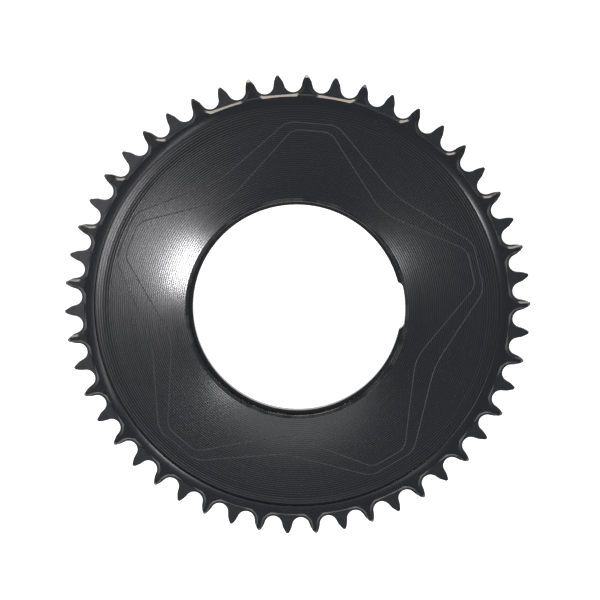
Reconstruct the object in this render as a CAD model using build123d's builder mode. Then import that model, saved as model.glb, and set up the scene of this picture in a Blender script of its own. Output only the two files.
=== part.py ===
from build123d import *
from math import cos, degrees, radians, sin
import os

# Narrow-wide chainring, machined from one plate and lying on its back. Millimetres.
# The axis is +Z, the show face looks up, and z = 0 is the plane of the spider seat.

# Chain and teeth
teeth = 50
chain_pitch = 12.7
roller_radius = 3.875
roller_play = 0.075
narrow_thickness = 2.0
wide_thickness = 3.6
tooth_height = 3.92
tip_land = 0.9
tip_lean = 0.37
tip_edge = 1.1
flank_angle = 20.0
flank_length = 2.35
relief_angle = 11.0
first_gap_angle = 4.35

# Pockets that thin every second tooth
ledge = 0.78
pocket_slope = 45.0

# Rim, from the tooth roots in to the turned face, with heights above the middle of the teeth
land_root_gap = 0.45
rim_gap = 1.2
rim_height = 2.05
rim_width = 4.18
ridge_height = 2.5
ridge_run = 0.2

# Turned face, from the ridge in to the collar, with heights above the middle of the teeth
face_height = 1.7
shelf_run = 4.1
shelf_height = 1.95
valley_run = 2.5
valley_height = 1.82
dish_hollow = 0.57
dish_cuts = 3
collar_width = 1.5
collar_height = 5.3

# Tapped holes for the spider, in the back
bolt_circle_radius = 55.0
bolt_count = 5
thread_radius = 4.0
thread_depth = 4.5

# Bore inside the bolts, its lip and the notch through the lip
bolt_bore_gap = 6.3
lip_width = 1.8
lip_height = 2.0
notch_width = 21.4
notch_angle = 1.4
notch_corner = 3.0

# Seat and recess turned in the back, which leaves an even web
seat_margin = 3.0
web_thickness = 2.8
recess_inset = 2.1
recess_wall_run = 1.0

cutter_clearance = 0.2

# Sizes that follow from the ones above
half_pitch_angle = 180.0 / teeth
pitch_radius = chain_pitch / 2 / sin(radians(half_pitch_angle))
seat_radius = roller_radius + roller_play
root_radius = pitch_radius - seat_radius
tip_radius = pitch_radius + tooth_height
rim_radius = root_radius - rim_gap
ridge_radius = rim_radius - rim_width
face_radius = ridge_radius - ridge_run
shelf_radius = face_radius - shelf_run
valley_radius = shelf_radius - valley_run
bore_radius = bolt_circle_radius - bolt_bore_gap
collar_radius = bore_radius + collar_width
lip_radius = bore_radius - lip_width
recess_radius = face_radius - recess_inset
middle = wide_thickness / 2
core_top = middle + narrow_thickness / 2
core_bottom = middle - narrow_thickness / 2
land_top = middle + wide_thickness / 2
face_top = middle + collar_height
tip_bevel = (wide_thickness - tip_edge) / 2
spider_seat_radius = bolt_circle_radius + thread_radius + seat_margin


def polar(radius, angle):
    return Vector(radius * cos(radians(angle)), radius * sin(radians(angle)))


def dish_point(radius):
    share = (valley_radius - radius) / (valley_radius - collar_radius)
    rise = share * (collar_height - valley_height)
    hollow = 4 * share * (1 - share) * dish_hollow
    return radius, middle + valley_height + rise - hollow


# Half section of the turned blank, from the tooth tips over the face to the bore and round the back
dish_cut = (valley_radius - collar_radius) / dish_cuts
dish = [dish_point(valley_radius - cut * dish_cut) for cut in range(dish_cuts + 1)]
recess_edge = (recess_radius, 0)
floor_inner_radius = spider_seat_radius + recess_wall_run
floor_inner_height = dish_point(floor_inner_radius)[1] - web_thickness
floor_outer_radius = recess_radius - recess_wall_run
floor_outer_height = middle + shelf_height - web_thickness

with BuildSketch(Plane.XZ) as section:
    with BuildLine():
        Polyline(
            recess_edge,
            (tip_radius - tip_bevel, 0),
            (tip_radius, middle - tip_edge / 2),
            (tip_radius, middle + tip_edge / 2),
            (tip_radius - tip_bevel, land_top),
            (root_radius + land_root_gap, land_top),
            (rim_radius, middle + rim_height),
            (ridge_radius, middle + ridge_height),
            (face_radius, middle + face_height),
            (shelf_radius, middle + shelf_height),
            *dish,
            (bore_radius, face_top),
            (bore_radius, middle + lip_height),
            (lip_radius, middle + lip_height),
            (lip_radius, 0),
            (spider_seat_radius, 0),
            (floor_inner_radius, floor_inner_height),
            (floor_outer_radius, floor_outer_height),
            recess_edge,
        )
    make_face()

# One tooth gap about the roller's centre, +X outwards: roller seat, working flank that bends
# into the bevel of the next tip, and the rounded trailing flank of the tip before
lean_angle = degrees(tip_lean / tip_radius)
half_land_angle = degrees(tip_land / tip_radius) / 2
roller_centre = Vector(pitch_radius, 0)
bevel_tip = polar(tip_radius, half_pitch_angle + lean_angle - half_land_angle) - roller_centre
trailing_tip = polar(tip_radius, -half_pitch_angle + lean_angle + half_land_angle) - roller_centre
gap_mouth = tooth_height + cutter_clearance

with BuildSketch() as gap:
    with BuildLine():
        seat = CenterArc(
            (0, 0),
            seat_radius,
            start_angle=90 + flank_angle,
            arc_size=180 - flank_angle - relief_angle,
        )
        flank = PolarLine(seat @ 0, flank_length, flank_angle)
        TangentArc(seat @ 1, trailing_tip, tangent=seat % 1)
        Polyline(
            flank @ 1,
            bevel_tip,
            (gap_mouth, bevel_tip.Y),
            (gap_mouth, trailing_tip.Y),
            trailing_tip,
        )
    make_face()

# One pocket about a narrow tooth, +X outwards: a straight floor that turns round the two
# roller seats and runs out beside the wide teeth. The turns are round on the show face.
roller_beside = polar(pitch_radius, half_pitch_angle)
pocket_radius = seat_radius + ledge
pocket_reach = tooth_height + ledge + wide_thickness
pitch_angle = 2 * half_pitch_angle

with BuildSketch() as pocket:
    with BuildLine():
        turn = CenterArc(roller_beside, pocket_radius, 90 + pitch_angle, 90 - pitch_angle)
        wall = PolarLine(turn @ 0, pocket_reach, pitch_angle)
        Line(turn @ 1, ((turn @ 1).X, 0))
        Line(wall @ 1, ((wall @ 1).X, 0))
        mirror(about=Plane.XZ)
    make_face()

# The same pocket for the back, where two straight cuts make each turn
bend = (90 - pitch_angle) / 4
corner_radius = pocket_radius / cos(radians(bend))

with BuildSketch() as back_pocket:
    with BuildLine():
        corner = roller_beside + polar(corner_radius, 180 - bend)
        Polyline(
            (corner.X, 0),
            corner,
            roller_beside + polar(corner_radius, 90 + pitch_angle + bend),
            wall @ 1,
            ((wall @ 1).X, 0),
        )
        mirror(about=Plane.XZ)
    make_face()

# Notch in the lip, cut out to the wall of the bore
with BuildSketch() as notch:
    with PolarLocations(0, 1, start_angle=notch_angle):
        Rectangle(bore_radius, notch_width, align=(Align.MIN, Align.CENTER))
    Circle(bore_radius, mode=Mode.INTERSECT)
    fillet(notch.vertices().group_by(SortBy.DISTANCE)[-1], radius=notch_corner)

with BuildPart() as chainring:
    add(section.sketch)
    revolve(axis=Axis.Z)

    with BuildSketch():
        with PolarLocations(pitch_radius, teeth, start_angle=first_gap_angle):
            add(gap.sketch)
    extrude(amount=land_top, mode=Mode.SUBTRACT)

    with BuildSketch(Plane.XY.offset(core_top)):
        with PolarLocations(0, teeth // 2, start_angle=first_gap_angle + half_pitch_angle):
            add(pocket.sketch)
    extrude(
        amount=middle + rim_height - core_top + cutter_clearance,
        taper=-pocket_slope,
        mode=Mode.SUBTRACT,
    )

    with BuildSketch(Plane.XY.offset(core_bottom)):
        with PolarLocations(0, teeth // 2, start_angle=first_gap_angle + half_pitch_angle):
            add(back_pocket.sketch)
    extrude(amount=-core_bottom - cutter_clearance, taper=-pocket_slope, mode=Mode.SUBTRACT)

    add(notch.sketch)
    extrude(amount=middle + lip_height, mode=Mode.SUBTRACT)

    with BuildSketch():
        with PolarLocations(bolt_circle_radius, bolt_count, start_angle=notch_angle):
            Circle(thread_radius)
    extrude(amount=thread_depth, mode=Mode.SUBTRACT)

chainring.part.label = "chainring"
os.makedirs("parts", exist_ok=True)
export_step(chainring.part, "parts/chainring.step")
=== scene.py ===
import math
import bmesh
import bpy
from mathutils import Matrix, Vector


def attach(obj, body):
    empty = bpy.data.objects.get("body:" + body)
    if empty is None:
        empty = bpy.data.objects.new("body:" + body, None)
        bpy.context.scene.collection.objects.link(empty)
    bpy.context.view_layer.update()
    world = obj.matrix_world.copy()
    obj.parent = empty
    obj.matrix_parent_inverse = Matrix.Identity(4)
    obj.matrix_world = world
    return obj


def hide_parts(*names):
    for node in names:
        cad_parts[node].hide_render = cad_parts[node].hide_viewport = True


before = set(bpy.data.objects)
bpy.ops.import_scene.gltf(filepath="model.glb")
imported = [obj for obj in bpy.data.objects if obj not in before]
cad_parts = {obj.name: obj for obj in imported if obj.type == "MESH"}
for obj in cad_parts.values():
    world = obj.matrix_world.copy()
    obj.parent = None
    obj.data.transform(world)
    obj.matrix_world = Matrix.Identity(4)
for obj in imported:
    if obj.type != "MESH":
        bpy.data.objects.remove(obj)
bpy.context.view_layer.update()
mm = 0.001

# Camera, at the angle of the photograph: 9.6 degrees off the ring's axis, about 1.1 m away
camera = {
    "tiltX": 9.473,           # degrees
    "tiltY": -1.571,
    "distance": 1096.0,       # mm
    "sideways": -1.33,
    "upwards": -3.356,
    "pixelsPerMm": 2.21627,   # where the line of sight meets the teeth
    "imagePixels": 600,
    "aimHeight": 1.8,
}


def makeCamera():
    data = bpy.data.cameras.new("photoCamera")
    data.sensor_width = 36.0
    data.lens = data.sensor_width * camera["pixelsPerMm"] * camera["distance"] / camera["imagePixels"]
    data.clip_start = 0.01
    data.clip_end = 50.0
    turn = Matrix.Rotation(math.radians(camera["tiltY"]), 3, "Y")
    turn = turn @ Matrix.Rotation(math.radians(camera["tiltX"]), 3, "X")
    place = turn.transposed() @ Vector((-camera["sideways"], -camera["upwards"], camera["distance"]))
    place.z += camera["aimHeight"]
    viewer = bpy.data.objects.new("photoCamera", data)
    viewer.matrix_world = Matrix.Translation(place * mm) @ turn.transposed().to_4x4()
    bpy.context.scene.collection.objects.link(viewer)
    bpy.context.scene.camera = viewer


makeCamera()
print("camera placed")

# Sizes of the ring in mm. Heights are above the spider seat, on which the ring lies.
ring = {
    "teeth": 50,
    "chainPitch": 12.7,
    "seatRadius": 3.95,
    "toothHeight": 3.92,
    "tipLand": 0.9,
    "tipLean": 0.37,
    "tipEdge": 1.1,
    "flankAngle": 20.0,
    "flankLength": 2.35,
    "reliefAngle": 11.0,
    "firstGapAngle": 4.35,
    "wideThickness": 3.6,
    "narrowThickness": 2.0,
    "ledge": 0.78,
    "rimGap": 1.2,
    "rimTop": 3.8,
    "rimChamferRun": 0.4,
    "rimOuterTilt": 20.0,     # how far the round rim leans outward, at its two edges
    "rimInnerTilt": 11.5,
    "ridgeRadius": 91.5,
    "faceRadius": 91.35,
    "faceTop": 3.5,
    "shelfRadius": 87.5,
    "shelfTop": 3.73,
    "valleyRadius": 85.0,
    "valleyTop": 3.7,
    "collarRadius": 50.2,
    "collarTop": 7.1,
    "dishHollow": 0.57,
    "grooveRuns": ((84.7, 1.11), (50.2, 0.93)),   # down to a radius, at a pitch
    "grooveAngle": 1.2,       # how much each groove bends to either side, in degrees
    "grooveEdgeAngle": 5.0,   # and how much more at its edges
    "grooveShape": (-0.84, -0.64, 0.64, 0.84, 1),   # where it is drawn, from its middle to an edge
    "valleyGrooves": 1.5,     # how much more they bend in the valley
    "boreRadius": 48.7,
    "boreBreak": 0.25,
    "lipRadius": 46.9,
    "lipTop": 3.8,
    "lipBreak": 0.2,
    "notchWidth": 21.4,
    "notchAngle": 1.4,
    "notchCorner": 3.0,
    "notchShort": 0.02,       # how far the notch stays off the wall of the bore
    "seatMargin": 3.0,
    "recessRadius": 89.5,
    "recessRun": 1.0,
    "webThickness": 2.8,
    "clearance": 0.2,         # how far the cutters reach past the blank
    "overshoot": 1,           # and how far those that go right through it
    "spinSteps": 240,
    "rimSteps": 10,
    "seatSteps": 20,
    "flankSteps": 8,
    "pocketSteps": 12,
    "recessSteps": 6,
    "sharpAngle": 8,          # degrees between faces from which an edge looks sharp
}
halfPitchAngle = 180.0 / ring["teeth"]
pitchRadius = ring["chainPitch"] / 2 / math.sin(math.radians(halfPitchAngle))
rootRadius = pitchRadius - ring["seatRadius"]
tipRadius = pitchRadius + ring["toothHeight"]
rimRadius = rootRadius - ring["rimGap"]
middle = ring["wideThickness"] / 2
coreTop = middle + ring["narrowThickness"] / 2
coreBottom = middle - ring["narrowThickness"] / 2


def polar(radius, degrees, height=0.0):
    angle = math.radians(degrees)
    return Vector((radius * math.cos(angle), radius * math.sin(angle), height))


def faceHeight(radius):
    # the turned face without its grooves
    if radius > ring["shelfRadius"]:
        share = (ring["faceRadius"] - radius) / (ring["faceRadius"] - ring["shelfRadius"])
        return ring["faceTop"] + share * (ring["shelfTop"] - ring["faceTop"])
    if radius > ring["valleyRadius"]:
        share = (ring["shelfRadius"] - radius) / (ring["shelfRadius"] - ring["valleyRadius"])
        return ring["shelfTop"] + share * (ring["valleyTop"] - ring["shelfTop"])
    share = (ring["valleyRadius"] - radius) / (ring["valleyRadius"] - ring["collarRadius"])
    rise = share * (ring["collarTop"] - ring["valleyTop"])
    return ring["valleyTop"] + rise - 4 * share * (1 - share) * ring["dishHollow"]


# A pen that draws outlines in a bmesh, one vertex after the other
def penAt(mesh, point):
    return mesh.verts.new(point)


def penLine(mesh, pen, point):
    made = bmesh.ops.extrude_vert_indiv(mesh, verts=[pen])
    made["verts"][0].co = point
    return made["verts"][0]


def penArc(mesh, pen, centre, degrees, steps, axis=(0, 0, 1)):
    made = bmesh.ops.spin(mesh, geom=[pen], cent=centre, axis=axis,
                          angle=math.radians(degrees), steps=steps)
    return [v for v in made["geom_last"] if isinstance(v, bmesh.types.BMVert)][0]


def closePen(mesh, pen, first):
    mesh.edges.new((pen, first))


def prism(mesh, low, high):
    # fills the drawn outline and pulls it up from low to high
    bmesh.ops.translate(mesh, verts=mesh.verts, vec=(0, 0, low))
    face = bmesh.ops.contextual_create(mesh, geom=mesh.edges[:])["faces"]
    pulled = bmesh.ops.extrude_face_region(mesh, geom=face)
    tops = [v for v in pulled["geom"] if isinstance(v, bmesh.types.BMVert)]
    bmesh.ops.translate(mesh, verts=tops, vec=(0, 0, high - low))
    bmesh.ops.recalc_face_normals(mesh, faces=mesh.faces)


def ringOf(mesh, count, firstAngle):
    # turns the shape to its first place and repeats it round the axis
    bmesh.ops.rotate(mesh, verts=mesh.verts, cent=(0, 0, 0),
                     matrix=Matrix.Rotation(math.radians(firstAngle), 3, "Z"))
    shape = mesh.verts[:] + mesh.edges[:] + mesh.faces[:]
    for turn in range(1, count):
        copy = bmesh.ops.duplicate(mesh, geom=shape)["geom"]
        corners = [v for v in copy if isinstance(v, bmesh.types.BMVert)]
        bmesh.ops.rotate(mesh, verts=corners, cent=(0, 0, 0),
                         matrix=Matrix.Rotation(2 * math.pi * turn / count, 3, "Z"))


def toObject(mesh, name):
    bmesh.ops.scale(mesh, verts=mesh.verts, vec=(mm, mm, mm))
    data = bpy.data.meshes.new(name)
    mesh.to_mesh(data)
    mesh.free()
    made = bpy.data.objects.new(name, data)
    bpy.context.scene.collection.objects.link(made)
    return made


def turnedBlank():
    mesh = bmesh.new()
    tipBevel = (ring["wideThickness"] - ring["tipEdge"]) / 2
    first = penAt(mesh, (ring["recessRadius"], 0, 0))
    pen = penLine(mesh, first, (tipRadius - tipBevel, 0, 0))
    pen = penLine(mesh, pen, (tipRadius, 0, middle - ring["tipEdge"] / 2))
    pen = penLine(mesh, pen, (tipRadius, 0, middle + ring["tipEdge"] / 2))
    pen = penLine(mesh, pen, (tipRadius - tipBevel, 0, ring["wideThickness"]))
    pen = penLine(mesh, pen, (rimRadius + ring["rimChamferRun"], 0, ring["wideThickness"]))
    pen = penLine(mesh, pen, (rimRadius, 0, ring["rimTop"]))
    outer = math.radians(ring["rimOuterTilt"])
    inner = math.radians(ring["rimInnerTilt"])
    bend = (rimRadius - ring["ridgeRadius"]) / (math.sin(outer) - math.sin(inner))
    centre = pen.co - bend * Vector((math.sin(outer), 0, math.cos(outer)))
    pen = penArc(mesh, pen, centre, ring["rimInnerTilt"] - ring["rimOuterTilt"], ring["rimSteps"],
                 axis=(0, 1, 0))
    # the grooves, from the foot of the ridge in to the collar, each hollow with steeper edges
    pen = penLine(mesh, pen, (ring["faceRadius"], 0, faceHeight(ring["faceRadius"])))
    start = ring["faceRadius"]
    for end, pitch in ring["grooveRuns"]:
        count = round((start - end) / pitch)
        half = (start - end) / count / 2
        for groove in range(count):
            centre = start - (2 * groove + 1) * half
            inValley = ring["valleyRadius"] < centre < ring["shelfRadius"]
            more = half * (ring["valleyGrooves"] if inValley else 1)
            depth = more * math.tan(math.radians(ring["grooveAngle"])) / 2
            edgeDepth = more * math.tan(math.radians(ring["grooveEdgeAngle"])) / 8
            for across in ring["grooveShape"]:
                radius = centre - across * half
                sunk = depth * (1 - across ** 2) + edgeDepth * (1 - across ** 8)
                pen = penLine(mesh, pen, (radius, 0, faceHeight(radius) - sunk))
        start = end
    pen = penLine(mesh, pen, (ring["boreRadius"] + ring["boreBreak"], 0, ring["collarTop"]))
    pen = penLine(mesh, pen, (ring["boreRadius"], 0, ring["collarTop"] - ring["boreBreak"]))
    pen = penLine(mesh, pen, (ring["boreRadius"], 0, ring["lipTop"]))
    pen = penLine(mesh, pen, (ring["lipRadius"] + ring["lipBreak"], 0, ring["lipTop"]))
    pen = penLine(mesh, pen, (ring["lipRadius"], 0, ring["lipTop"] - ring["lipBreak"]))
    pen = penLine(mesh, pen, (ring["lipRadius"], 0, ring["lipBreak"]))
    pen = penLine(mesh, pen, (ring["lipRadius"] + ring["lipBreak"], 0, 0))
    seatEdge = holes["circleRadius"] + holes["radius"] + ring["seatMargin"]
    pen = penLine(mesh, pen, (seatEdge, 0, 0))
    inner = seatEdge + ring["recessRun"]
    outer = ring["recessRadius"] - ring["recessRun"]
    pen = penLine(mesh, pen, (inner, 0, faceHeight(inner) - ring["webThickness"]))
    for step in range(1, ring["recessSteps"]):
        radius = inner + (outer - inner) * step / ring["recessSteps"]
        height = faceHeight(radius) - ring["webThickness"]
        pen = penLine(mesh, pen, (radius, 0, height))
    pen = penLine(mesh, pen, (outer, 0, ring["shelfTop"] - ring["webThickness"]))
    closePen(mesh, pen, first)
    bmesh.ops.spin(mesh, geom=mesh.verts[:] + mesh.edges[:], cent=(0, 0, 0), axis=(0, 0, 1),
                   angle=2 * math.pi, steps=ring["spinSteps"], use_merge=True)
    bmesh.ops.remove_doubles(mesh, verts=mesh.verts, dist=0.001)
    bmesh.ops.recalc_face_normals(mesh, faces=mesh.faces)
    return toObject(mesh, "chainringBody")


def gapCutter():
    mesh = bmesh.new()
    lean = math.degrees(ring["tipLean"] / tipRadius)
    halfLand = math.degrees(ring["tipLand"] / tipRadius) / 2
    centre = Vector((pitchRadius, 0, 0))
    bevelTip = polar(tipRadius, halfPitchAngle + lean - halfLand)
    trailingTip = polar(tipRadius, -halfPitchAngle + lean + halfLand)
    mouth = tipRadius + ring["clearance"]
    start = 90 + ring["flankAngle"]
    first = penAt(mesh, centre + polar(ring["seatRadius"], start))
    sweep = 180 - ring["flankAngle"] - ring["reliefAngle"]
    pen = penArc(mesh, first, centre, sweep, ring["seatSteps"])
    # the trailing flank leaves the seat without a corner and bends to the tip
    direction = polar(1, start + sweep + 90)
    inward = polar(1, start + sweep)
    reach = trailingTip - pen.co
    radius = reach.length_squared / 2 / reach.dot(inward)
    bend = 2 * math.degrees(math.atan2(reach.dot(inward), reach.dot(direction)))
    pen = penArc(mesh, pen, pen.co + inward * radius, -bend, ring["flankSteps"])
    pen = penLine(mesh, pen, (mouth, trailingTip.y, 0))
    pen = penLine(mesh, pen, (mouth, bevelTip.y, 0))
    pen = penLine(mesh, pen, bevelTip)
    flankEnd = first.co + polar(ring["flankLength"], ring["flankAngle"])
    pen = penLine(mesh, pen, flankEnd)
    closePen(mesh, pen, first)
    prism(mesh, -ring["overshoot"], ring["wideThickness"] + ring["overshoot"])
    ringOf(mesh, ring["teeth"], ring["firstGapAngle"])
    return toObject(mesh, "gapCutter")


def pocketOutline(mesh, offset, height):
    beside = polar(pitchRadius, halfPitchAngle, height)
    radius = ring["seatRadius"] + ring["ledge"] + offset
    reach = ring["toothHeight"] + ring["ledge"] + ring["wideThickness"]
    turn = 90 - 2 * halfPitchAngle
    wallFoot = beside + polar(radius, 90 + 2 * halfPitchAngle)
    wallEnd = wallFoot + polar(reach, 2 * halfPitchAngle)
    first = penAt(mesh, wallEnd)
    pen = penLine(mesh, first, wallFoot)
    pen = penArc(mesh, pen, beside, turn, ring["pocketSteps"])
    pen = penLine(mesh, pen, (pen.co.x, -pen.co.y, height))
    pen = penArc(mesh, pen, (beside.x, -beside.y, height), turn, ring["pocketSteps"])
    pen = penLine(mesh, pen, (wallEnd.x, -wallEnd.y, height))
    closePen(mesh, pen, first)


def pocketCutter(name, floor, mouth):
    mesh = bmesh.new()
    pocketOutline(mesh, 0, floor)
    pocketOutline(mesh, abs(mouth - floor), mouth)
    loops = mesh.edges[:]
    bmesh.ops.contextual_create(mesh, geom=loops[:len(loops) // 2])
    bmesh.ops.contextual_create(mesh, geom=loops[len(loops) // 2:])
    bmesh.ops.bridge_loops(mesh, edges=loops)
    bmesh.ops.recalc_face_normals(mesh, faces=mesh.faces)
    ringOf(mesh, ring["teeth"] // 2, ring["firstGapAngle"] + halfPitchAngle)
    return toObject(mesh, name)


def notchCutter():
    mesh = bmesh.new()
    wall = ring["boreRadius"] - ring["notchShort"]
    corner = ring["notchCorner"]
    half = ring["notchWidth"] / 2
    cornerX = math.sqrt((wall - corner) ** 2 - (half - corner) ** 2)
    cornerAngle = math.degrees(math.atan2(half - corner, cornerX))
    first = penAt(mesh, (ring["lipRadius"] - half, -half, 0))
    pen = penLine(mesh, first, (cornerX, -half, 0))
    pen = penArc(mesh, pen, (cornerX, corner - half, 0), 90 - cornerAngle, ring["pocketSteps"])
    pen = penArc(mesh, pen, (0, 0, 0), 2 * cornerAngle, ring["seatSteps"])
    pen = penArc(mesh, pen, (cornerX, half - corner, 0), 90 - cornerAngle, ring["pocketSteps"])
    pen = penLine(mesh, pen, (ring["lipRadius"] - half, half, 0))
    closePen(mesh, pen, first)
    prism(mesh, -ring["overshoot"], ring["lipTop"] + ring["overshoot"])
    ringOf(mesh, 1, ring["notchAngle"])
    return toObject(mesh, "notchCutter")


# Tapped holes in the back
holes = {
    "count": 5,
    "circleRadius": 55.0,
    "radius": 4.0,
    "depth": 4.5,
    "countersink": 0.5,
    "segments": 48,
}


def holeCutter():
    mesh = bmesh.new()
    mouth = holes["radius"] + holes["countersink"]
    bmesh.ops.create_circle(mesh, cap_ends=False, segments=holes["segments"], radius=mouth)
    bmesh.ops.translate(mesh, verts=mesh.verts, vec=(0, 0, -ring["overshoot"]))
    rings = mesh.edges[:]
    steps = ((0, mouth), (holes["countersink"], holes["radius"]), (holes["depth"], holes["radius"]))
    for height, radius in steps:
        made = bmesh.ops.extrude_edge_only(mesh, edges=rings)["geom"]
        corners = [v for v in made if isinstance(v, bmesh.types.BMVert)]
        rings = [e for e in made if isinstance(e, bmesh.types.BMEdge)]
        now = corners[0].co.xy.length
        bmesh.ops.scale(mesh, verts=corners, vec=(radius / now, radius / now, 1))
        bmesh.ops.translate(mesh, verts=corners, vec=(0, 0, height - corners[0].co.z))
    bmesh.ops.holes_fill(mesh, edges=mesh.edges, sides=0)
    bmesh.ops.recalc_face_normals(mesh, faces=mesh.faces)
    bmesh.ops.translate(mesh, verts=mesh.verts, vec=(holes["circleRadius"], 0, 0))
    ringOf(mesh, holes["count"], ring["notchAngle"])
    return toObject(mesh, "holeCutter")


# Two engraved lines round the face, plain five-armed stars with blunt arms
star = {
    "arms": 5,
    "firstArm": 13.0,         # degrees
    "lines": (
        {"armRadius": 84.4, "armHalf": 7.6, "valleyRadius": 68.0, "valleyHalf": 3.0, "bend": 3.5},
        {"armRadius": 80.8, "armHalf": 6.0, "valleyRadius": 59.0, "valleyHalf": 3.0, "bend": 3.5},
    ),
    "depth": 0.12,
    "cutterRadius": 0.28,
    "step": 1.2,
    "bendSteps": 5,
}


def starPath(line):
    # the star's corners, each rounded by a bevel, then cut in short steps to follow the face
    mesh = bmesh.new()
    first = pen = None
    half = 180.0 / star["arms"]
    for arm in range(star["arms"]):
        middleAngle = star["firstArm"] + 2 * half * arm
        corners = ((line["armRadius"], middleAngle - line["armHalf"]),
                   (line["armRadius"], middleAngle + line["armHalf"]),
                   (line["valleyRadius"], middleAngle + half - line["valleyHalf"]),
                   (line["valleyRadius"], middleAngle + half + line["valleyHalf"]))
        for radius, angle in corners:
            point = polar(radius, angle)
            pen = penLine(mesh, pen, point) if pen else penAt(mesh, point)
            first = first or pen
    closePen(mesh, pen, first)
    bmesh.ops.bevel(mesh, geom=mesh.verts[:], offset=line["bend"], offset_type="OFFSET",
                    segments=star["bendSteps"], profile=0.5, affect="VERTICES", material=-1,
                    clamp_overlap=True)
    for edge in mesh.edges[:]:
        cuts = int(edge.calc_length() / star["step"])
        if cuts:
            bmesh.ops.subdivide_edges(mesh, edges=[edge], cuts=cuts)
    start = mesh.verts[:][0]
    path = [start]
    edge = start.link_edges[0]
    corner = edge.other_vert(start)
    while corner is not start:
        path.append(corner)
        edge = [e for e in corner.link_edges if e is not edge][0]
        corner = edge.other_vert(corner)
    points = [v.co.copy() for v in path]
    mesh.free()
    return points


def starCutter():
    cutters = []
    lift = star["cutterRadius"] - star["depth"]
    for number, line in enumerate(star["lines"]):
        curve = bpy.data.curves.new("starLine", "CURVE")
        curve.dimensions = "3D"
        points = starPath(line)
        spline = curve.splines.new("POLY")
        spline.points.add(len(points) - 1)
        for place, point in zip(spline.points, points):
            height = faceHeight(point.length) + lift
            place.co = (point.x * mm, point.y * mm, height * mm, 1)
        spline.use_cyclic_u = True
        curve.bevel_depth = star["cutterRadius"] * mm
        curve.bevel_resolution = 2
        tube = bpy.data.objects.new("starLine", curve)
        bpy.context.scene.collection.objects.link(tube)
        bpy.context.view_layer.update()
        data = bpy.data.meshes.new_from_object(tube.evaluated_get(bpy.context.evaluated_depsgraph_get()))
        bpy.data.objects.remove(tube)
        cutter = bpy.data.objects.new("starCutter" + str(number), data)
        bpy.context.scene.collection.objects.link(cutter)
        cutters.append(cutter)
    return cutters


def cutAway(body, cutters, finish):
    # the cut faces take the finish of the cutter
    for cutter in cutters:
        cutter.data.materials.clear()
        cutter.data.materials.append(finish)
        modifier = body.modifiers.new("cut", "BOOLEAN")
        modifier.operation = "DIFFERENCE"
        modifier.solver = "MANIFOLD"
        modifier.material_mode = "TRANSFER"
        modifier.object = cutter
    bpy.context.view_layer.update()
    data = bpy.data.meshes.new_from_object(body.evaluated_get(bpy.context.evaluated_depsgraph_get()))
    body.modifiers.clear()
    body.data = data
    for cutter in cutters:
        bpy.data.objects.remove(cutter)


# Node groups that the finishes share. All of them read Object coordinates, in metres.
def newGroup(name, inputs, outputs):
    group = bpy.data.node_groups.new(name, "ShaderNodeTree")
    for label, kind, value in inputs:
        group.interface.new_socket(name=label, in_out="INPUT", socket_type=kind).default_value = value
    for label, kind in outputs:
        group.interface.new_socket(name=label, in_out="OUTPUT", socket_type=kind)
    return group, group.nodes.new("NodeGroupInput").outputs, group.nodes.new("NodeGroupOutput").inputs


def mathNode(tree, operation, first, second=0.0):
    made = tree.nodes.new("ShaderNodeMath")
    made.operation = operation
    for value, socket in zip((first, second), made.inputs):
        if isinstance(value, (int, float)):
            socket.default_value = value
        else:
            tree.links.new(value, socket)
    return made.outputs[0]


def ramp(tree, value, low, high):
    made = tree.nodes.new("ShaderNodeMapRange")
    made.interpolation_type = "SMOOTHSTEP"
    made.inputs["From Min"].default_value = low
    made.inputs["From Max"].default_value = high
    tree.links.new(value, made.inputs["Value"])
    return made.outputs["Result"]


def noiseNode(tree, vector, scale, detail):
    made = tree.nodes.new("ShaderNodeTexNoise")
    made.inputs["Scale"].default_value = scale
    made.inputs["Detail"].default_value = detail
    tree.links.new(vector, made.inputs["Vector"])
    return made.outputs["Fac"]


def placeAndRadius(tree):
    # the place on the ring, and its distance from the axis in mm
    place = tree.nodes.new("ShaderNodeTexCoord").outputs["Object"]
    flat = tree.nodes.new("ShaderNodeVectorMath")
    flat.operation = "MULTIPLY"
    flat.inputs[1].default_value = (1000, 1000, 0)
    tree.links.new(place, flat.inputs[0])
    length = tree.nodes.new("ShaderNodeVectorMath")
    length.operation = "LENGTH"
    tree.links.new(flat.outputs[0], length.inputs[0])
    return place, length.outputs["Value"]


def turningMarks():
    # fine rings left by the lathe tool: a height for the bump, and broad light and dark bands
    tree, given, result = newGroup(
        "turningMarks",
        (("Rings per mm", "NodeSocketFloat", 3.0), ("Bands per mm", "NodeSocketFloat", 0.3)),
        (("Height", "NodeSocketFloat"), ("Band", "NodeSocketFloat")))
    radius = placeAndRadius(tree)[1]
    for count, name, detail in (("Rings per mm", "Height", 2.0), ("Bands per mm", "Band", 1.0)):
        lines = tree.nodes.new("ShaderNodeTexNoise")
        lines.noise_dimensions = "1D"
        lines.inputs["Scale"].default_value = 1.0
        lines.inputs["Detail"].default_value = detail
        tree.links.new(mathNode(tree, "MULTIPLY", radius, given[count]), lines.inputs["W"])
        tree.links.new(lines.outputs["Fac"], result[name])
    return tree


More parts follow.
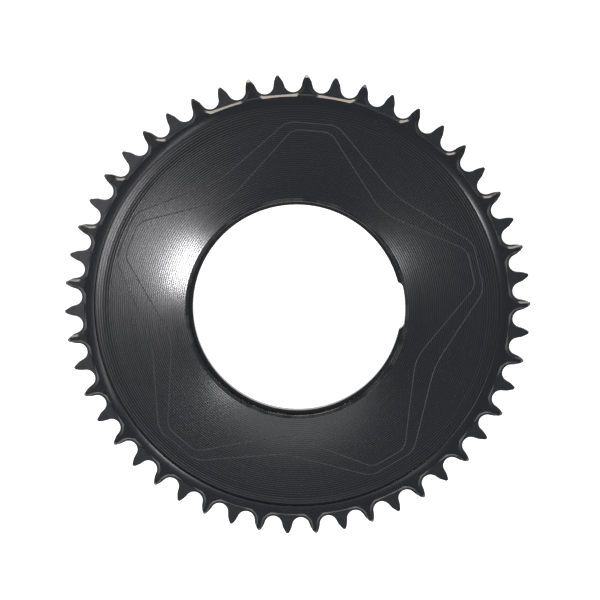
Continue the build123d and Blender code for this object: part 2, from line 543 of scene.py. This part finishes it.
def handlingMarks():
    # small bright specks and short scratches, more of them in some patches than in others
    tree, given, result = newGroup(
        "handlingMarks",
        (("Specks", "NodeSocketFloat", 0.5), ("Scratches", "NodeSocketFloat", 0.5)),
        (("Mask", "NodeSocketFloat"),))
    place = placeAndRadius(tree)[0]
    patches = ramp(tree, noiseNode(tree, place, 38.0, 2.0), 0.5, 0.72)
    cells = tree.nodes.new("ShaderNodeTexVoronoi")
    cells.inputs["Scale"].default_value = 420.0
    tree.links.new(place, cells.inputs["Vector"])
    dots = ramp(tree, cells.outputs["Distance"], 0.16, 0.06)
    total = mathNode(tree, "MULTIPLY", mathNode(tree, "MULTIPLY", dots, patches), given["Specks"])
    for turn in (25, 100, 152):
        mapping = tree.nodes.new("ShaderNodeMapping")
        mapping.inputs["Rotation"].default_value = (0, 0, math.radians(turn))
        mapping.inputs["Scale"].default_value = (90, 1500, 90)
        tree.links.new(place, mapping.inputs["Vector"])
        scratch = ramp(tree, noiseNode(tree, mapping.outputs[0], 1.0, 0.0), 0.76, 0.84)
        scratch = mathNode(tree, "MULTIPLY", mathNode(tree, "MULTIPLY", scratch, patches), given["Scratches"])
        total = mathNode(tree, "MAXIMUM", total, scratch)
    tree.links.new(total, result["Mask"])
    return tree


def grooveCrests():
    # the fine lines between the turned grooves, from an outer to an inner radius
    tree, given, result = newGroup(
        "grooveCrests",
        (("Outer mm", "NodeSocketFloat", 90.0), ("Inner mm", "NodeSocketFloat", 50.0),
         ("Pitch mm", "NodeSocketFloat", 0.93), ("Width", "NodeSocketFloat", 0.2)),
        (("Mask", "NodeSocketFloat"),))
    radius = placeAndRadius(tree)[1]
    inward = mathNode(tree, "SUBTRACT", given["Outer mm"], radius)
    away = mathNode(tree, "PINGPONG", mathNode(tree, "DIVIDE", inward, given["Pitch mm"]), 0.5)
    line = ramp(tree, mathNode(tree, "DIVIDE", away, given["Width"]), 1.0, 0.2)
    inside = mathNode(tree, "MULTIPLY", mathNode(tree, "GREATER_THAN", inward, 0.0),
                      mathNode(tree, "GREATER_THAN", radius, given["Inner mm"]))
    tree.links.new(mathNode(tree, "MULTIPLY", line, inside), result["Mask"])
    return tree


def edgeRubAndHighlight():
    # wear and a painted edge highlight along a round edge of the given radius, broken up along its length
    tree, given, result = newGroup(
        "edgeRubAndHighlight",
        (("Radius mm", "NodeSocketFloat", 50.0), ("Width mm", "NodeSocketFloat", 0.2),
         ("Strength", "NodeSocketFloat", 1.0), ("Lowest mm", "NodeSocketFloat", 0.0)),
        (("Mask", "NodeSocketFloat"),))
    place, radius = placeAndRadius(tree)
    away = mathNode(tree, "ABSOLUTE", mathNode(tree, "SUBTRACT", radius, given["Radius mm"]))
    near = ramp(tree, mathNode(tree, "DIVIDE", away, given["Width mm"]), 1.0, 0.4)
    broken = ramp(tree, noiseNode(tree, place, 130.0, 4.0), 0.4, 0.62)
    split = tree.nodes.new("ShaderNodeSeparateXYZ")
    tree.links.new(place, split.inputs[0])
    height = mathNode(tree, "DIVIDE", split.outputs["Z"], mm)
    above = mathNode(tree, "GREATER_THAN", height, given["Lowest mm"])
    rubbedAndHighlight = mathNode(tree, "MULTIPLY", mathNode(tree, "MULTIPLY", near, broken), above)
    tree.links.new(mathNode(tree, "MULTIPLY", rubbedAndHighlight, given["Strength"]), result["Mask"])
    return tree


def dyeTone():
    # slight clouds in the black dye
    tree, given, result = newGroup(
        "dyeTone",
        (("Thin dye", "NodeSocketColor", (0.02, 0.02, 0.02, 1)),
         ("Full dye", "NodeSocketColor", (0.01, 0.01, 0.01, 1)), ("Cloud size", "NodeSocketFloat", 20.0)),
        (("Color", "NodeSocketColor"),))
    place = placeAndRadius(tree)[0]
    clouds = tree.nodes.new("ShaderNodeTexNoise")
    clouds.inputs["Detail"].default_value = 3.0
    tree.links.new(place, clouds.inputs["Vector"])
    tree.links.new(given["Cloud size"], clouds.inputs["Scale"])
    mix = tree.nodes.new("ShaderNodeMix")
    mix.data_type = "RGBA"
    tree.links.new(clouds.outputs["Fac"], mix.inputs[0])
    tree.links.new(given["Thin dye"], mix.inputs[6])
    tree.links.new(given["Full dye"], mix.inputs[7])
    tree.links.new(mix.outputs[2], result["Color"])
    return tree


groups = {"turning": turningMarks(), "handling": handlingMarks(), "crests": grooveCrests(),
          "rubAndHighlight": edgeRubAndHighlight(), "dye": dyeTone()}

# Black anodised aluminium in three finishes: turned face, milled cuts and engraved lines.
# Each edge gives a radius, a width and a strength for its wear and painted edge highlight, and the lowest
# height that has it.
finishes = {
    "turnedBlack": {
        "thin": (0.0085, 0.0101, 0.0142), "full": (0.0055, 0.0066, 0.0098), "cloud": 30.0,
        "roughness": (0.15, 0.17), "ringsPerMm": 1.1, "bump": 0.01, "specks": 0.35, "scratches": 0.06,
        "edges": ((50.2, 0.16, 0.5, 3.0), (49.6, 0.6, 0.3, 3.0), (48.8, 0.2, 0.35, 3.0)),
    },
    "milledBlack": {
        "thin": (0.0125, 0.0142, 0.019), "full": (0.0088, 0.0102, 0.0142), "cloud": 60.0,
        "roughness": (0.2, 0.24), "ringsPerMm": 1.5, "bump": 0.02, "specks": 0.2, "scratches": 0.1,
        "edges": ((104.9, 0.5, 0.3, -1.0),),
    },
    "engravedBlack": {
        "thin": (0.06, 0.062, 0.07), "full": (0.042, 0.044, 0.05), "cloud": 150.0,
        "roughness": (0.36, 0.46), "ringsPerMm": 2.0, "bump": 0.02, "specks": 0.2, "scratches": 0.0,
        "edges": (),
    },
}
wearAndEdgeHighlight = {
    "tone": (0.11, 0.108, 0.105, 1),       # where the dye is worn thin, and the painted highlight along round edges
    "rougher": 0.15,
    "bumpDistance": 0.02,                  # mm
}
# the paler tone of the groove crests is a painted sheen
crests = {
    "width": 0.17,                         # as a share of the grooves' pitch
    "tone": (0.0085, 0.0101, 0.0142, 1),
    "rougher": 0.15,
}


def anodisedFinish(name, look):
    material = bpy.data.materials.new(name)
    material.use_nodes = True
    tree = material.node_tree
    shader = tree.nodes["Principled BSDF"]
    shader.inputs["IOR"].default_value = 1.6

    def place(group, **values):
        made = tree.nodes.new("ShaderNodeGroup")
        made.node_tree = groups[group]
        for label, value in values.items():
            made.inputs[label.replace("_", " ")].default_value = value
        return made

    dye = place("dye", Thin_dye=(*look["thin"], 1), Full_dye=(*look["full"], 1), Cloud_size=look["cloud"])
    turning = place("turning", Rings_per_mm=look["ringsPerMm"])
    wearAndHighlightMask = place("handling", Specks=look["specks"], Scratches=look["scratches"]).outputs["Mask"]
    # the round edges get a paler tone: partly worn dye, partly a painted edge highlight
    for radius, width, strength, lowest in look["edges"]:
        rubAndHighlight = place("rubAndHighlight", Radius_mm=radius, Width_mm=width, Strength=strength, Lowest_mm=lowest)
        wearAndHighlightMask = mathNode(tree, "MAXIMUM", wearAndHighlightMask, rubAndHighlight.outputs["Mask"])
    colour = tree.nodes.new("ShaderNodeMix")
    colour.data_type = "RGBA"
    colour.inputs[7].default_value = wearAndEdgeHighlight["tone"]
    tree.links.new(wearAndHighlightMask, colour.inputs[0])
    base = dye.outputs["Color"]
    if name == "turnedBlack":
        # the fine lines between the grooves, rougher, and a little paler as a painted sheen
        lines = 0.0
        start = ring["faceRadius"]
        for end, pitch in ring["grooveRuns"]:
            pitch = (start - end) / round((start - end) / pitch)
            run = place("crests", Outer_mm=start, Inner_mm=end, Pitch_mm=pitch, Width=crests["width"])
            lines = mathNode(tree, "ADD", run.outputs["Mask"], lines)
            start = end
        paintedCrestSheen = tree.nodes.new("ShaderNodeMix")
        paintedCrestSheen.data_type = "RGBA"
        paintedCrestSheen.inputs[7].default_value = crests["tone"]
        tree.links.new(lines, paintedCrestSheen.inputs[0])
        tree.links.new(base, paintedCrestSheen.inputs[6])
        base = paintedCrestSheen.outputs[2]
    tree.links.new(base, colour.inputs[6])
    tree.links.new(colour.outputs[2], shader.inputs["Base Color"])
    gloss = tree.nodes.new("ShaderNodeMapRange")
    gloss.inputs["From Min"].default_value = 0.3
    gloss.inputs["From Max"].default_value = 0.7
    gloss.inputs["To Min"].default_value = look["roughness"][0]
    gloss.inputs["To Max"].default_value = look["roughness"][1]
    tree.links.new(turning.outputs["Band"], gloss.inputs["Value"])
    rough = mathNode(tree, "ADD", gloss.outputs["Result"], mathNode(tree, "MULTIPLY", wearAndHighlightMask, wearAndEdgeHighlight["rougher"]))
    if name == "turnedBlack":
        rough = mathNode(tree, "ADD", rough, mathNode(tree, "MULTIPLY", lines, crests["rougher"]))
    tree.links.new(rough, shader.inputs["Roughness"])
    bump = tree.nodes.new("ShaderNodeBump")
    bump.inputs["Strength"].default_value = look["bump"]
    bump.inputs["Distance"].default_value = wearAndEdgeHighlight["bumpDistance"] * mm
    tree.links.new(turning.outputs["Height"], bump.inputs["Height"])
    tree.links.new(bump.outputs["Normal"], shader.inputs["Normal"])
    return material


turned, milled, engraved = [anodisedFinish(name, look) for name, look in finishes.items()]
print("finishes made")

body = turnedBlank()
body.data.materials.append(turned)
print("blank turned", len(body.data.polygons))
frontPockets = pocketCutter("frontPockets", coreTop, ring["rimTop"] + ring["clearance"])
backPockets = pocketCutter("backPockets", coreBottom, -ring["clearance"])
cutAway(body, [gapCutter(), frontPockets, backPockets, notchCutter(), holeCutter()], milled)
print("teeth, notch and holes cut", len(body.data.polygons))
cutAway(body, starCutter(), engraved)
print("lines engraved", len(body.data.polygons))
body.data.shade_smooth()
body.data.set_sharp_from_angle(angle=math.radians(ring["sharpAngle"]))
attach(body, "root")
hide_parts("chainring")

# Floor, lamps and world
studio = {
    "distance": 1.6,          # metres from the ring's middle to each lamp
    "world": 0.3,
    "floor": (0.8, 0.8, 0.8, 1),
    "floorSize": 3000,        # mm from the middle to each edge
    "glow": 11.5,             # a warm light near the horizon behind the ring
    "glowTowards": 95.0,      # degrees from +X
    "glowSpread": 0.38,       # sine of the angle to either side
    "glowSoftness": 0.05,
    "glowSide": (0.1, 0.3),   # keeps it to one side of the ring
    "glowTop": (0.19, 0.13),  # sine of its height, where it starts and where it is full
    "glowTint": (1, 0.9, 0.8, 1),
    "lamps": (
        # name, degrees from straight up, towards (degrees from +X), length and width in m,
        # direction of its length, watts, tint
        ("mainLamp", 22.0, 184.0, 0.24, 0.04, 70.0, 5.3, (1, 0.98, 0.995)),
        ("fanLamp", 15.0, 196.0, 0.18, 0.12, 68.0, 0.27, (1, 0.98, 0.995)),
        ("stripLamp", 27.8, 181.0, 1.5, 0.06, 70.0, 1.2, (1, 1, 1)),
        ("rightLamp", 23.6, 8.0, 0.16, 0.16, 0.0, 2.3, (1, 1, 1)),
        ("lowLeftLamp", 36.0, 236.7, 0.18, 0.18, 0.0, 1.5, (1, 1, 1)),
        ("lowLamp", 33.0, 268.0, 1.1, 0.3, 0.0, 1.4, (1, 1, 1)),
        ("highLamp", 50.0, 85.0, 1.2, 0.4, 175.0, 1.8, (1, 1, 1)),
    ),
}


def makeLamp(name, lean, towards, length, width, longAxis, watts, tint):
    lamp = bpy.data.lights.new(name, "AREA")
    lamp.shape = "RECTANGLE"
    lamp.size = length
    lamp.size_y = width
    lamp.energy = watts
    lamp.color = tint
    made = bpy.data.objects.new(name, lamp)
    back = polar(math.sin(math.radians(lean)), towards, math.cos(math.radians(lean)))
    along = polar(1, longAxis)
    along = (along - back * along.dot(back)).normalized()
    turn = Matrix((along, back.cross(along), back)).transposed().to_4x4()
    made.matrix_world = Matrix.Translation(back * studio["distance"]) @ turn
    made.visible_camera = False
    bpy.context.scene.collection.objects.link(made)


for lamp in studio["lamps"]:
    makeLamp(*lamp)


def makeFloor():
    mesh = bmesh.new()
    bmesh.ops.create_grid(mesh, x_segments=1, y_segments=1, size=studio["floorSize"])
    floor = toObject(mesh, "floor")
    paint = bpy.data.materials.new("paleFloor")
    paint.use_nodes = True
    nodes = paint.node_tree.nodes
    links = paint.node_tree.links
    nodes.clear()
    out = nodes.new("ShaderNodeOutputMaterial")
    diffuse = nodes.new("ShaderNodeBsdfDiffuse")
    diffuse.inputs["Color"].default_value = studio["floor"]
    glow = nodes.new("ShaderNodeEmission")
    glow.inputs["Color"].default_value = (1, 1, 1, 1)
    path = nodes.new("ShaderNodeLightPath").outputs
    seen = mathNode(paint.node_tree, "MAXIMUM", path["Is Glossy Ray"], path["Is Transmission Ray"])
    seen = mathNode(paint.node_tree, "MAXIMUM", path["Is Camera Ray"], seen)
    links.new(seen, glow.inputs["Strength"])
    total = nodes.new("ShaderNodeAddShader")
    links.new(diffuse.outputs[0], total.inputs[0])
    links.new(glow.outputs[0], total.inputs[1])
    links.new(total.outputs[0], out.inputs["Surface"])
    paint.cycles.emission_sampling = "NONE"
    floor.data.materials.append(paint)


makeFloor()


def makeWorld():
    # an even grey, with a low warm glow on one side
    world = bpy.data.worlds.new("studio")
    bpy.context.scene.world = world
    world.use_nodes = True
    world.cycles.sampling_method = "NONE"
    tree = world.node_tree
    background = tree.nodes["Background"]
    direction = tree.nodes.new("ShaderNodeTexCoord").outputs["Generated"]
    spread = studio["glowSpread"]
    soft = studio["glowSoftness"]
    limits = ((polar(1, studio["glowTowards"] + 90), spread + soft, spread - soft),
              (polar(1, studio["glowTowards"]), *studio["glowSide"]),
              (Vector((0, 0, 1)), *studio["glowTop"]))
    windows = []
    for towards, low, high in limits:
        along = tree.nodes.new("ShaderNodeVectorMath")
        along.operation = "DOT_PRODUCT"
        along.inputs[1].default_value = towards
        tree.links.new(direction, along.inputs[0])
        windows.append(ramp(tree, mathNode(tree, "ABSOLUTE", along.outputs["Value"]), low, high))
    glow = mathNode(tree, "MULTIPLY", mathNode(tree, "MULTIPLY", windows[0], windows[1]), windows[2])
    strength = mathNode(tree, "ADD", mathNode(tree, "MULTIPLY", glow, studio["glow"]), studio["world"])
    tree.links.new(strength, background.inputs["Strength"])
    tint = tree.nodes.new("ShaderNodeMix")
    tint.data_type = "RGBA"
    tint.inputs[6].default_value = (1, 1, 1, 1)
    tint.inputs[7].default_value = studio["glowTint"]
    tree.links.new(glow, tint.inputs[0])
    tree.links.new(tint.outputs[2], background.inputs["Color"])


makeWorld()
bpy.context.scene.view_settings.view_transform = "Standard"
